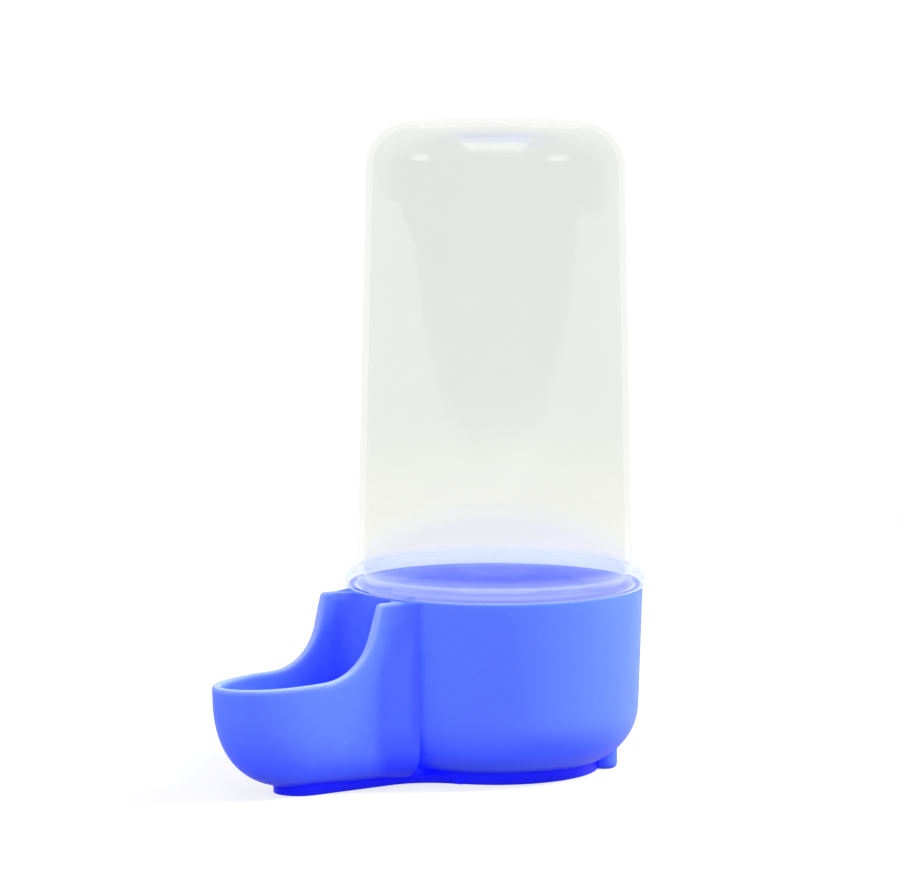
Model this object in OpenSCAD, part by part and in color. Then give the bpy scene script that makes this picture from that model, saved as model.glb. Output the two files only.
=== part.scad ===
// Siphon drinker for cage birds.
// A clear reservoir stands mouth down in the cup of a moulded base. A low passage through the
// cup's wall feeds a drinking trough, whose neck slips between the wires of the cage.
// Heights are above the table. The trough points towards -Y.

/* [Reservoir] */
// Outer diameter of the tube at its open end
tube_d = 51; // [44:0.5:58]
// Height of the reservoir above the cup's rim
tube_h = 86.3; // [60:0.1:120]
// Draft of the tube's wall, in degrees
tube_draft = 1.3; // [0.2:0.1:2]
// Wall of the tube
tube_wall = 1.2; // [0.8:0.1:2]
// Radius of the shoulder at the closed end
shoulder_r = 8.4; // [4:0.2:11]
// Rise of the crown above the shoulder
crown_rise = 0.5; // [0.3:0.1:2]
// Thickness of the flange that rests on the cup
flange_t = 2.5; // [1.8:0.1:4]
// Distance that the flange stands out past the cup
flange_over = 0.6; // [0.2:0.1:1.5]
// Radius of the flange's upper edge
flange_edge_r = 1; // [0.3:0.1:1.5]
// Depth of the spigot that enters the cup
spigot_h = 8; // [4:0.5:12]
// Lead-in chamfer at the end of the spigot
spigot_chamfer = 0.5; // [0.2:0.1:0.7]

/* [Cup] */
// Radial gap between the spigot and the cup's socket
fit_gap = 0.1; // [0.05:0.01:0.2]
// Wall and floor of the cup
cup_wall = 1.9; // [1.2:0.1:2.6]
// Height of the cup's rim
cup_h = 34.5; // [30:0.5:44]
// Draft of the cup's wall, in degrees
cup_draft = 1.8; // [0.2:0.1:3]
// Radius of the cup's lower edge
cup_edge_r = 11; // [7:0.2:13]
// Clearance below the spigot's end in the socket
socket_clear = 1; // [0.5:0.1:2]

/* [Feet] */
// Height of the feet
foot_h = 1.4; // [1:0.1:3]
// Distance from the cup's rim in to the foot ring under the cup
foot_inset = 8; // [7:0.2:11]
// Wall of the foot ring
foot_wall = 1.8; // [1.2:0.1:3]
// Diameter of the two back feet
peg_d = 4.4; // [3:0.1:6]
// Angle of each back foot from the back of the cup, in degrees
peg_angle = 39; // [25:1:60]
// Distance that a back foot's centre stands out past the foot ring
peg_over = 1.2; // [0:0.1:2]
// Radius of a back foot's lower edge
peg_edge_r = 0.8; // [0.3:0.1:1.2]
// Width of the foot under the trough
keel_foot_w = 9.4; // [6:0.2:11]
// Distance from the lip back to the front of the trough's foot
keel_foot_setback = 12.2; // [9:0.2:14]
// Reach of the web between the foot ring and the trough's foot
web_reach = 5.5; // [3:0.1:8]
// Angle at which the web leaves the foot ring, to each side of the trough, in degrees
web_angle = 26; // [20:1:32]

/* [Trough] */
// Reach of the lip from the cup's wall
trough_reach = 33.8; // [30:0.1:42]
// Outer width of the trough
trough_w = 18.5; // [18:0.1:22]
// Outer width of the trough at its stern
stern_w = 17.6; // [17.2:0.1:18]
// Distance from the cup's wall to the stern
stern_reach = 4.6; // [4:0.1:4.7]
// Wall and floor of the trough
trough_wall = 1.5; // [1:0.1:2]
// Length of the rounded bow
bow_l = 15.3; // [11:0.1:20]
// Height at which the bow begins to curve under
bow_top = 18.9; // [14:0.1:19]
// Fullness of the bow's underside lengthwise, where 2 is an ellipse and more is squarer
bow_full = 2; // [1.9:0.05:3]
// Fullness of the bow's underside crosswise, where the bow begins
bow_broad = 3.5; // [2.5:0.1:4]
// Radius of the trough's lower edges at the neck
trough_edge_r = 5.5; // [3:0.1:6.5]
// Height of the lip at its tip
lip_h = 19.9; // [19:0.1:23]
// Rise of the lip towards the cup, in degrees
lip_rise = 3.3; // [0:0.1:6]
// Radius of the sweep from the lip up to the ears
sweep_r = 10.2; // [5:0.1:12]
// Backward lean of the ears' front edges, in degrees
ear_lean = 15.5; // [5:0.5:22]
// Reach of the ears' tops from the cup's wall
ear_reach = 5.1; // [4:0.1:7]

/* [Neck] */
// Outer width of the neck at its waist, which slips between the wires of the cage
waist_w = 16.8; // [15:0.1:17]
// Distance from the cup's wall to the waist
waist_reach = 3.2; // [2:0.1:4.5]
// Flare of the neck from the waist towards the cup, in degrees
neck_flare = 20.5; // [10:0.5:30]

/* [Passage] */
// Width of the water passage through the cup's wall
passage_w = 8; // [5:0.5:9]
// Height of the passage above the cup's floor, which sets the water's level in the trough
passage_h = 8; // [5:0.5:10]
// Radius of the passage's upper corners
passage_r = 2; // [0.5:0.5:3]

/* [Hidden] */
$fn = 96;
hull_fn = 32;
cut = 1;
lap = 0.35;

// Cup
spigot_r = tube_d / 2;
socket_r = spigot_r + fit_gap;
cup_r = socket_r + cup_wall;
cup_floor = foot_h + cup_wall;
cup_edge_z = foot_h + cup_edge_r;
cup_edge_x = cup_r - tan(cup_draft) * (cup_h - cup_edge_z) - cup_edge_r / cos(cup_draft);
foot_r = cup_r - foot_inset;

// Reservoir
flange_r = cup_r + flange_over;
flange_top = cup_h + flange_t;
crown_z = cup_h + tube_h;
shoulder_z = crown_z - crown_rise - shoulder_r;
shoulder_x = spigot_r - tan(tube_draft) * (shoulder_z - flange_top) - shoulder_r / cos(tube_draft);
crown_link = (pow(shoulder_x, 2) + pow(crown_rise, 2)) / (2 * crown_rise);
crown_r = crown_link + shoulder_r;

// Trough
lip_reach = cup_r + trough_reach;
bow_reach = lip_reach - bow_l;
trough_floor = foot_h + trough_wall;
ear_top_reach = cup_r + ear_reach;
waist_at = cup_r + waist_reach;
stern_at = cup_r + stern_reach;
neck_back = foot_r - foot_wall / 2;
bow_profile = [for (i = [0:hull_fn / 2]) let (t = 180 * i / hull_fn)
    [pow(cos(t), 2 / bow_full), -pow(sin(t), 2 / bow_full)]];
bow_section = [for (i = [0:hull_fn]) let (t = 180 * i / hull_fn)
    [sign(cos(t)) * pow(abs(cos(t)), 2 / bow_broad), -pow(sin(t), 2 / bow_broad)]];

// The origin is midway along the part, on the table
origin_shift = (lip_reach - flange_r) / 2;

// Height of the straight part of the lip at a distance from the cup's axis
function lip_z(reach) = lip_h + tan(lip_rise) * (lip_reach - reach);

module about_origin() {
    translate([0, origin_shift, 0])
        children();
}

// Stretches a profile, drawn as reach and height, across the trough
module across(width) {
    rotate([90, 0, -90])
        linear_extrude(height = width, center = true)
            children();
}

// Reservoir

// Half section of the tube inside its outer face, moved in by an inset
module tube_section(inset, bottom) {
    wall_x = shoulder_x + (shoulder_r - inset) * cos(tube_draft);
    wall_z = shoulder_z + (shoulder_r - inset) * sin(tube_draft);
    link = (crown_r - inset) / crown_link;
    polygon([
        [0, bottom],
        [spigot_r - inset, bottom],
        [spigot_r - inset, flange_top],
        [wall_x, wall_z],
        [shoulder_x, shoulder_z],
        [0, shoulder_z]
    ]);
    translate([shoulder_x, shoulder_z])
        circle(r = shoulder_r - inset);
    intersection() {
        translate([0, crown_z - crown_r])
            circle(r = crown_r - inset, $fn = 4 * $fn);
        polygon([
            [0, shoulder_z],
            [shoulder_x, shoulder_z],
            [shoulder_x * link, crown_z - crown_r + (crown_link - crown_rise) * link],
            [shoulder_x * link, crown_z + cut],
            [0, crown_z + cut]
        ]);
    }
}

module flange_section() {
    square_top = flange_top - flange_edge_r;
    translate([0, cup_h])
        square([flange_r, flange_t - flange_edge_r]);
    translate([0, square_top])
        square([flange_r - flange_edge_r, flange_edge_r]);
    translate([flange_r - flange_edge_r, square_top])
        circle(r = flange_edge_r);
}

module spigot_section() {
    spigot_end = cup_h - spigot_h;
    polygon([
        [0, spigot_end],
        [spigot_r - spigot_chamfer, spigot_end],
        [spigot_r, spigot_end + spigot_chamfer],
        [spigot_r, flange_top],
        [0, flange_top]
    ]);
}

module reservoir() {
    color([0.88, 0.93, 0.9, 0.4])
        about_origin()
            rotate_extrude()
                difference() {
                    intersection() {
                        union() {
                            tube_section(0, cup_h);
                            flange_section();
                            spigot_section();
                        }
                        square([flange_r + cut, crown_z + cut]);
                    }
                    tube_section(tube_wall, cup_h - spigot_h - cut);
                }
}

// Base

// Half section of the cup inside its outer face, moved in by an inset
module cup_section(inset) {
    bend_r = cup_edge_r - inset;
    polygon([
        [0, foot_h + inset],
        [cup_edge_x, foot_h + inset],
        [cup_edge_x, cup_edge_z],
        [cup_edge_x + bend_r * cos(cup_draft), cup_edge_z - bend_r * sin(cup_draft)],
        [cup_r - inset / cos(cup_draft), cup_h],
        [0, cup_h]
    ]);
    translate([cup_edge_x, cup_edge_z])
        circle(r = bend_r);
}

module cup_body() {
    rotate_extrude()
        cup_section(0);
}

module cup_hollow() {
    socket_z = cup_h - spigot_h - socket_clear;
    rotate_extrude()
        cup_section(cup_wall);
    translate([0, 0, socket_z])
        cylinder(r = socket_r, h = cup_h - socket_z + cut);
}

// The feet run up into the cup's rounded wall, and the cup's hollow trims them

module foot_ring() {
    difference() {
        cylinder(r = foot_r, h = cup_edge_z);
        translate([0, 0, -cut])
            cylinder(r = foot_r - foot_wall, h = foot_h + cut);
    }
}

module back_foot() {
    translate([0, foot_r + peg_over, 0])
        rotate_extrude() {
            translate([0, peg_edge_r])
                square([peg_d / 2, cup_edge_z - peg_edge_r]);
            square([peg_d / 2 - peg_edge_r, cup_edge_z]);
            intersection() {
                translate([peg_d / 2 - peg_edge_r, peg_edge_r])
                    circle(r = peg_edge_r);
                square(peg_d);
            }
        }
}

// Foot under the trough, run into the foot ring with a spreading web
module keel_foot() {
    front = lip_reach - keel_foot_setback - keel_foot_w / 2;
    tip_x = keel_foot_w / 2 - lap;
    root_r = foot_r - foot_wall / 3;
    root_x = root_r * sin(web_angle);
    root_y = -root_r * cos(web_angle);
    linear_extrude(height = trough_floor + trough_wall) {
        translate([-keel_foot_w / 2, -front])
            square([keel_foot_w, front - neck_back]);
        translate([0, -front])
            circle(d = keel_foot_w);
        difference() {
            polygon([
                [-root_x, root_y],
                [-tip_x, -foot_r - web_reach],
                [tip_x, -foot_r - web_reach],
                [root_x, root_y]
            ]);
            circle(r = neck_back);
        }
    }
}

// Scoop of the trough, moved in by an inset: a rounded bow run back to a round-cornered stern
module scoop(inset, top) {
    half_w = trough_w / 2 - inset;
    stern_x = stern_w / 2 - inset;
    edge_r = trough_edge_r - inset;
    hull() {
        for (side = [-1, 1])
            translate([side * (stern_x - edge_r), -stern_at, foot_h + trough_edge_r])
                rotate([90, 0, 0])
                    cylinder(r = edge_r, h = lap, $fn = 2 * hull_fn);
        translate([-stern_x, -stern_at - lap, top - lap])
            cube([2 * stern_x, lap, lap]);
        translate([0, -bow_reach, bow_top])
            scale([half_w, bow_l - inset, bow_top - foot_h - inset])
                rotate_extrude($fn = 2 * hull_fn)
                    polygon(concat([[0, 0]], bow_profile));
        translate([0, -bow_reach, bow_top])
            rotate([90, 0, 0])
                linear_extrude(height = lap)
                    scale([half_w, bow_top - foot_h - inset])
                        polygon(bow_section);
        translate([0, -bow_reach, bow_top])
            scale([half_w, bow_l - inset, 1])
                cylinder(r = 1, h = top - bow_top, $fn = 2 * hull_fn);
    }
}

// Neck between the cup and the trough, moved in by an inset: waisted, with bevelled lower edges
module neck(inset, top) {
    floor_z = foot_h + inset;
    stern_x = stern_w / 2 - inset - lap / 2;
    waist_x = waist_w / 2 - inset;
    root_x = waist_x + tan(neck_flare) * (waist_at - neck_back);
    bevel_x = stern_w / 2 - trough_edge_r - inset * tan(22.5);
    intersection() {
        translate([0, 0, floor_z])
            linear_extrude(height = top - floor_z)
                polygon([
                    [-root_x, -neck_back],
                    [-waist_x, -waist_at],
                    [-stern_x, -stern_at - lap],
                    [stern_x, -stern_at - lap],
                    [waist_x, -waist_at],
                    [root_x, -neck_back]
                ]);
        rotate([90, 0, 0])
            linear_extrude(height = lip_reach)
                polygon([
                    [-bevel_x, floor_z],
                    [bevel_x, floor_z],
                    [bevel_x + root_x, floor_z + root_x],
                    [bevel_x + root_x, top + cut],
                    [-bevel_x - root_x, top + cut],
                    [-bevel_x - root_x, floor_z + root_x]
                ]);
    }
}

// Everything above the lip, with the sweep up to the ears
module above_lip() {
    // Where the lip's line and the ears' front line would cross
    cross_reach = (ear_top_reach + tan(ear_lean) * (cup_h - lip_z(0)))
        / (1 - tan(ear_lean) * tan(lip_rise));
    cross_z = lip_z(cross_reach);
    // Length along each line from there to the sweep
    sweep_turn = 90 - ear_lean - lip_rise;
    sweep_run = sweep_r * tan(sweep_turn / 2);
    on_lip = [cross_reach + sweep_run * cos(lip_rise), cross_z - sweep_run * sin(lip_rise)];
    on_ear = [cross_reach - sweep_run * sin(ear_lean), cross_z + sweep_run * cos(ear_lean)];
    middle = on_lip + sweep_r * [sin(lip_rise), cos(lip_rise)];
    past_lip = lip_reach + sweep_r;
    past_top = cup_h + sweep_r;
    across(2 * trough_w) {
        polygon([
            on_lip,
            [past_lip, lip_z(past_lip)],
            [past_lip, past_top],
            [ear_top_reach - tan(ear_lean) * sweep_r, past_top],
            on_ear,
            middle
        ]);
        translate(middle)
            circle(r = sweep_r);
    }
}

module trough() {
    difference() {
        union() {
            scoop(0, cup_h);
            neck(0, cup_h);
            keel_foot();
        }
        scoop(trough_wall, cup_h + cut);
        neck(trough_wall, cup_h + cut);
        above_lip();
    }
}

module passage() {
    top = cup_floor + passage_h;
    corner_x = passage_w / 2 - passage_r;
    rotate([90, 0, 0])
        linear_extrude(height = cup_r + lap) {
            translate([-passage_w / 2, cup_floor])
                square([passage_w, passage_h - passage_r]);
            translate([-corner_x, cup_floor])
                square([2 * corner_x, passage_h]);
            for (side = [-1, 1])
                translate([side * corner_x, top - passage_r])
                    circle(r = passage_r);
        }
}

module base() {
    color([0.36, 0.46, 0.98])
        about_origin() {
            difference() {
                union() {
                    cup_body();
                    trough();
                    foot_ring();
                    for (side = [-1, 1])
                        rotate(side * peg_angle)
                            back_foot();
                }
                cup_hollow();
                passage();
            }
        }
}

base();
reservoir();
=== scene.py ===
# %% [markdown]
# # A siphon waterer for cage birds
# A clear plastic reservoir stands mouth down in a blue moulded base. Water runs from the cup of the
# base through a low passage into the drinking trough in front. The shapes and sizes come from the
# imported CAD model, and this lesson adds what moulding gives them: soft edges, a satin blue skin and a
# clear wall. Everything is in metres, and one millimetre is written as MM.

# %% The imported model
import math

import bmesh
import bpy
import numpy as np
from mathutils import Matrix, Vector


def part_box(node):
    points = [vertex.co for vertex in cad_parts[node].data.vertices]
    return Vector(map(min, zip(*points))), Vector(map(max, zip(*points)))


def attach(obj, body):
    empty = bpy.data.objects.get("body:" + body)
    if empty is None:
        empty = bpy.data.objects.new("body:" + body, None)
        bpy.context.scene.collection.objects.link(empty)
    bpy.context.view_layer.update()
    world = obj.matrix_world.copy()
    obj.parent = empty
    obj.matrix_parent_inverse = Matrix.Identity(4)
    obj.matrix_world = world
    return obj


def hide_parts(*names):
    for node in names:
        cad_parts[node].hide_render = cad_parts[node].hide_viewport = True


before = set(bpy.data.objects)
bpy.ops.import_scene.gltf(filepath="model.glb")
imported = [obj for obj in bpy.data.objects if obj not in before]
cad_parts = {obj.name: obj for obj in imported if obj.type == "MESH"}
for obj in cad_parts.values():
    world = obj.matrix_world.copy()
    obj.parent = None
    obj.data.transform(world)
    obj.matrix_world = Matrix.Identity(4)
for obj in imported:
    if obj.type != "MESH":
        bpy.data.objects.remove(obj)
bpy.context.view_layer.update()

MM = 0.001
scene = bpy.context.scene
base_low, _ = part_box("base")
tank_low, tank_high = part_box("reservoir")
cup_axis_y = (tank_low.y + tank_high.y) / 2
print("parts:", sorted(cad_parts), "cup axis at y =", round(cup_axis_y, 4))

# %% [markdown]
# ## The camera
# The picture was taken with a long lens from a little above the rim, so the upright edges stay nearly
# parallel. A camera that looks at the object from the front right, and swings a touch to one side, puts
# the tube where it stands in the picture. Turning the camera is better than shifting the lens here,
# because a shift would stay with it when it moves round to the other sides.

# %% Camera
CAMERA_TURN = math.radians(54)
CAMERA_AWAY = 833 * MM
CAMERA_HEIGHT = 154 * MM
LOOK_DOWN = math.radians(6.33)
LOOK_ASIDE = math.radians(0.574)
LENS_MM, SENSOR_MM = 180.74, 36
CLIP_START = 0.01

to_camera = Vector((math.sin(CAMERA_TURN), -math.cos(CAMERA_TURN), 0))
camera_right = Vector((math.cos(CAMERA_TURN), math.sin(CAMERA_TURN), 0))
cup_foot = Vector((0, cup_axis_y, 0))

camera = bpy.data.objects.new("camera", bpy.data.cameras.new("camera"))
scene.collection.objects.link(camera)
camera.data.sensor_fit = "HORIZONTAL"
camera.data.sensor_width = SENSOR_MM
camera.data.lens = LENS_MM
camera.data.clip_start = CLIP_START
camera.location = cup_foot + to_camera * CAMERA_AWAY + Vector((0, 0, CAMERA_HEIGHT))
level = -to_camera * math.cos(LOOK_ASIDE) - camera_right * math.sin(LOOK_ASIDE)
looking = level * math.cos(LOOK_DOWN) - Vector((0, 0, math.sin(LOOK_DOWN)))
camera.rotation_mode = "QUATERNION"
camera.rotation_quaternion = looking.to_track_quat("-Z", "Y")
scene.camera = camera
print("camera at", [round(v, 3) for v in camera.location])

# %% [markdown]
# ## The base
# The cup, neck, trough and feet are one moulding. The cup is a turned form, and the trough is a thin
# boat-shaped shell that grows out of its front. Wrapping the CAD solid in a fine even net would be quick,
# but it blurs the thin lip, which is the first thing the eye finds. So each form is made from its own
# section, with a small round on every rim, and a boolean joins them into one closed skin.

# %% Sizes of the cup and its foot, in millimetres
RIM_Z = 34.5
CUP_R, CUP_WALL = 27.5, 1.9
CUP_DRAFT = math.radians(1.8)
CUP_EDGE_R = 11.0
FOOT_H, FOOT_R, FOOT_WALL = 1.4, 19.5, 1.8
CUP_FLOOR_Z = FOOT_H + CUP_WALL
SOCKET_R, SOCKET_Z = 25.6, 25.5

cup_edge_z = FOOT_H + CUP_EDGE_R
cup_edge_x = CUP_R - math.tan(CUP_DRAFT) * (RIM_Z - cup_edge_z) - CUP_EDGE_R / math.cos(CUP_DRAFT)


def cup_outside(z):
    """Outer radius of the cup at a height."""
    if z > cup_edge_z - CUP_EDGE_R * math.sin(CUP_DRAFT):
        return CUP_R - math.tan(CUP_DRAFT) * (RIM_Z - z)
    return cup_edge_x + math.sqrt(max(0, CUP_EDGE_R ** 2 - (cup_edge_z - z) ** 2))


print("cup: wall meets its lower edge at r =", round(cup_outside(cup_edge_z), 2))

# %% Cup section
EDGE_STEPS, INNER_EDGE_STEPS = 18, 14
OUTER_RUNS, INNER_RUNS = 8, 4
RIM_ROUND, RIM_STEPS = 0.5, 5
FOOT_ROUND, FOOT_STEPS = 0.3, 3
FLOOR_RING_R = 9.0


def arc(middle, radius, start, end, steps):
    """Points on an arc in a half section, with its angles in degrees."""
    turns = [math.radians(start + (end - start) * i / steps) for i in range(steps + 1)]
    return [(middle[0] + radius * math.cos(t), middle[1] + radius * math.sin(t)) for t in turns]


def run(start, end, steps):
    """Points on a straight line, without its ends."""
    shares = [i / steps for i in range(1, steps)]
    return [tuple(a + (b - a) * s for a, b in zip(start, end)) for s in shares]


wall_turn = -math.degrees(CUP_DRAFT)
ring_turn = -math.degrees(math.acos((FOOT_R - cup_edge_x) / CUP_EDGE_R))
inner_low_r = SOCKET_R - math.tan(CUP_DRAFT) * (RIM_Z - SOCKET_Z)
edge_middle = (cup_edge_x, cup_edge_z)
outer_low = arc(edge_middle, CUP_EDGE_R, ring_turn, wall_turn, EDGE_STEPS)
inner_low = arc(edge_middle, CUP_EDGE_R - CUP_WALL, wall_turn, -90, INNER_EDGE_STEPS)
outer_rim = arc((CUP_R - RIM_ROUND, RIM_Z - RIM_ROUND), RIM_ROUND, wall_turn, 90, RIM_STEPS)
inner_rim = arc((SOCKET_R + RIM_ROUND, RIM_Z - RIM_ROUND), RIM_ROUND, 90, 180, RIM_STEPS)
foot_in = arc((FOOT_R - FOOT_WALL + FOOT_ROUND, FOOT_ROUND), FOOT_ROUND, 180, 270, FOOT_STEPS)
foot_out = arc((FOOT_R - FOOT_ROUND, FOOT_ROUND), FOOT_ROUND, 270, 360, FOOT_STEPS)
cup_section = (
    [(0, FOOT_H), (FLOOR_RING_R, FOOT_H), (FOOT_R - FOOT_WALL, FOOT_H)]
    + foot_in + foot_out + outer_low
    + run(outer_low[-1], outer_rim[0], OUTER_RUNS) + outer_rim + inner_rim
    + [(SOCKET_R, SOCKET_Z), (inner_low_r, SOCKET_Z)]
    + run((inner_low_r, SOCKET_Z), inner_low[0], INNER_RUNS) + inner_low
    + [(FLOOR_RING_R, CUP_FLOOR_Z), (0, CUP_FLOOR_Z)]
)
print("cup section:", len(cup_section), "points")

# %% Cup
CUP_STEPS = 192
ON_AXIS = 1e-6


def to_object(name, form):
    """Closes a bmesh into a smooth object in the scene."""
    bmesh.ops.recalc_face_normals(form, faces=form.faces)
    if form.calc_volume(signed=True) < 0:
        bmesh.ops.reverse_faces(form, faces=form.faces)
    mesh = bpy.data.meshes.new(name)
    form.to_mesh(mesh)
    form.free()
    mesh.polygons.foreach_set("use_smooth", [True] * len(mesh.polygons))
    piece = bpy.data.objects.new(name, mesh)
    scene.collection.objects.link(piece)
    return piece


def turned(name, section, steps, middle=(0, 0)):
    """Spins a half section in millimetres about an upright line near the cup's axis."""
    form = bmesh.new()
    rings = []
    for r, z in section:
        spots = [2 * math.pi * k / steps for k in range(steps)] if r > ON_AXIS else [0]
        ring = [form.verts.new(((middle[0] + r * math.cos(t)) * MM,
                                cup_axis_y + (middle[1] + r * math.sin(t)) * MM, z * MM)) for t in spots]
        rings.append(ring if len(ring) > 1 else ring * steps)
    for lower, upper in zip(rings, rings[1:] + rings[:1]):
        for k in range(steps):
            corners = list(dict.fromkeys([lower[k], lower[k - 1], upper[k - 1], upper[k]]))
            if len(corners) > 2:
                form.faces.new(corners)
    return to_object(name, form)


cup = turned("cup_form", cup_section, CUP_STEPS)
print("cup:", len(cup.data.polygons), "faces")

# %% [markdown]
# ### Trough and neck
# Seen from above, the trough is a blunt boat: straight sides, a rounded bow, and a waist at the back
# that a cage's wires fit. Behind the waist the neck widens to the cup, and under the cup it turns in.
# Seen from the side, its lip runs level, sweeps up and ends in two ears against the cup, which lean a
# little outwards. The shell is a grid: each column starts on the lip's curve and runs down round the
# bilge to the keel, once on the outer face and once on the inner face, with a small round across the
# lip between them.

# %% Sizes of the trough, in millimetres from the cup's axis
TROUGH_WALL = 1.5
LIP_REACH, LIP_H, LIP_RISE = 61.3, 20.4, math.radians(2.0)
TIP_RISE, TIP_POWER = 0.2, 4
BOW_REACH, BOW_TOP = 46.0, 18.9
BOW_FULL, BOW_BROAD = 2.15, 3.2
STERN_REACH, EDGE_R = 32.1, 5.5
EAR_REACH, EAR_LEAN, EAR_ROUND = 32.6, math.radians(15.5), 1.0
EAR_TOP = RIM_Z - 0.05
EAR_SPREAD, SPREAD_FROM = 0.8, 21.0
SWEEP_R = 10.2
WIDTH_REACHES = (14.0, 30.5, 32.4, 46.0, 62.0)
HALF_WIDTHS = (14.64, 8.5, 9.15, 9.25, 9.25)
WAIST_SOFTNESS, WAIST_SAMPLES = 1.8, 25
NECK_END = 29.0
NECK_BACK, TURN_IN, BACK_HALF = 24.6, 2.0, 6.4


def half_width(reach, z=0.0):
    """Half of the outer width at a distance from the cup's axis.

    It has a soft waist, ears that lean outwards, and a back end that turns in under the cup.
    """
    around = np.linspace(-WAIST_SOFTNESS, WAIST_SOFTNESS, WAIST_SAMPLES)
    spread = EAR_SPREAD * max(0, z - SPREAD_FROM) / (EAR_TOP - SPREAD_FROM)
    half = spread + float(np.mean(np.interp(reach + around, WIDTH_REACHES, HALF_WIDTHS)))
    return max(BACK_HALF, half - TURN_IN * max(0, NECK_BACK - reach))


print("waist:", round(2 * min(half_width(r) for r in np.arange(NECK_END, BOW_REACH, 0.1)), 2), "mm wide")

# %% The lip's curve from the neck to the bow, seen from the side
FLAT_STEPS, ROUND_STEPS, EAR_STEPS, SWEEP_STEPS, LEVEL_STEPS = 4, 6, 5, 16, 3

lip_points, lip_outward = [], []


def lip_z(reach):
    """Height of the lip: it falls towards the bow and turns up a little at the tip."""
    toward_tip = max(0, reach - BOW_REACH) / (LIP_REACH - BOW_REACH)
    return LIP_H + math.tan(LIP_RISE) * (LIP_REACH - reach) + TIP_RISE * toward_tip ** TIP_POWER


def heading(turn):
    """The direction at an angle in radians."""
    return np.array((math.cos(turn), math.sin(turn)))


def add_lip(point, outward):
    """Adds a point to the lip's curve, and the direction that leads out of the wall there."""
    lip_points.append(np.array(point))
    lip_outward.append(np.array(outward))


ear_line = np.array((math.sin(EAR_LEAN), -math.cos(EAR_LEAN)))
lip_line = np.array((math.cos(LIP_RISE), -math.sin(LIP_RISE)))
lip_up = np.array((math.sin(LIP_RISE), math.cos(LIP_RISE)))
ear_tip = np.array((EAR_REACH, EAR_TOP))
ear_turn = math.pi / 2 - EAR_LEAN
round_run = EAR_ROUND * math.tan(ear_turn / 2)
from_tip = np.array((BOW_REACH, lip_z(BOW_REACH))) - ear_tip
corner = ear_tip + ear_line * np.linalg.solve(np.array((ear_line, -lip_line)).T, from_tip)[0]
sweep_run = SWEEP_R * math.tan((ear_turn - LIP_RISE) / 2)
sweep_end = corner + lip_line * sweep_run
sweep_middle = sweep_end + SWEEP_R * lip_up
round_middle = ear_tip - np.array((round_run, EAR_ROUND))
flat_end = ear_tip[0] - round_run
ear_start, ear_stop = ear_tip + ear_line * round_run, corner - ear_line * sweep_run

for i in range(FLAT_STEPS):
    add_lip((NECK_END + (flat_end - NECK_END) * i / FLAT_STEPS, EAR_TOP), (0, 1))
for i in range(ROUND_STEPS + 1):
    outward = heading(math.pi / 2 - ear_turn * i / ROUND_STEPS)
    add_lip(round_middle + EAR_ROUND * outward, outward)
for i in range(1, EAR_STEPS):
    add_lip(ear_start + (ear_stop - ear_start) * i / EAR_STEPS, heading(EAR_LEAN))
for i in range(SWEEP_STEPS + 1):
    outward = heading(EAR_LEAN + (ear_turn - LIP_RISE) * i / SWEEP_STEPS)
    add_lip(sweep_middle - SWEEP_R * outward, outward)
for i in range(1, LEVEL_STEPS + 1):
    reach = sweep_end[0] + (BOW_REACH - sweep_end[0]) * i / LEVEL_STEPS
    add_lip((reach, lip_z(reach)), lip_up)
print("lip:", len(lip_points), "points from the neck to the bow")

# %% Rows of the trough's grid
LIP_ROUND, LIP_ROUND_STEPS = 0.45, 4
LIP_DEPTH = 0.9
WALL_STEPS, BILGE_STEPS, KEEL_STEPS = 6, 20, 3
BILGE_EASE = 1.7

round_turns = [math.radians(90 * i / LIP_ROUND_STEPS) for i in range(LIP_ROUND_STEPS + 1)]
half_lip = [(LIP_DEPTH, 0)]
half_lip += [(LIP_ROUND * (1 - math.sin(t)), LIP_ROUND * (1 - math.cos(t))) for t in round_turns]
over_lip = half_lip + [(0, TROUGH_WALL / 2)] + [(d, TROUGH_WALL - i) for d, i in half_lip[::-1]]


def face_rows(inset):
    """Rows of one face, from below the lip to the keel, as (kind, share, inset)."""
    wall = [("wall", i / WALL_STEPS, inset) for i in range(1, WALL_STEPS)]
    bend = [("bilge", (i / BILGE_STEPS) ** BILGE_EASE, inset) for i in range(BILGE_STEPS + 1)]
    return wall + bend + [("keel", i / KEEL_STEPS, inset) for i in range(1, KEEL_STEPS + 1)]


rows = face_rows(0)[::-1] + [("lip", d, i) for d, i in over_lip] + face_rows(TROUGH_WALL)
print("rows from keel to keel:", len(rows))

# %% Section of the bilge
def bilge(reach, turn, inset):
    """(x, z, across, along) on the section at a reach, as the skin turns from upright, 0, to the keel, 1.

    The last two are the shares of the bow's width and length that are left at that height.
    """
    slope = math.radians(90 * turn)
    toward_bow = min(1, max(0, (reach - STERN_REACH) / (BOW_REACH - STERN_REACH)))
    corner = EDGE_R - inset
    broad, deep = half_width(BOW_REACH) - inset, BOW_TOP - FOOT_H - inset
    lead = (deep / broad * math.tan(slope)) ** (1 / (2 - 2 / BOW_BROAD))
    bow_turn = math.atan(lead) if turn < 1 else math.pi / 2
    down = math.sin(bow_turn) ** (2 / BOW_BROAD)
    across, along = [(1 - min(1, down) ** full) ** (1 / full) for full in (BOW_BROAD, BOW_FULL)]
    stern_x, stern_z = corner * (1 - math.cos(slope)), FOOT_H + EDGE_R - corner * math.sin(slope)
    bow_x, bow_z = broad * (1 - across), BOW_TOP - deep * down
    x = half_width(reach) - inset - stern_x * (1 - toward_bow) - bow_x * toward_bow
    return max(0, x), stern_z * (1 - toward_bow) + bow_z * toward_bow, across, along


print("keel: under the bow it lies at z =", round(bilge(BOW_REACH, 1, 0)[1], 2), "mm")

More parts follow.
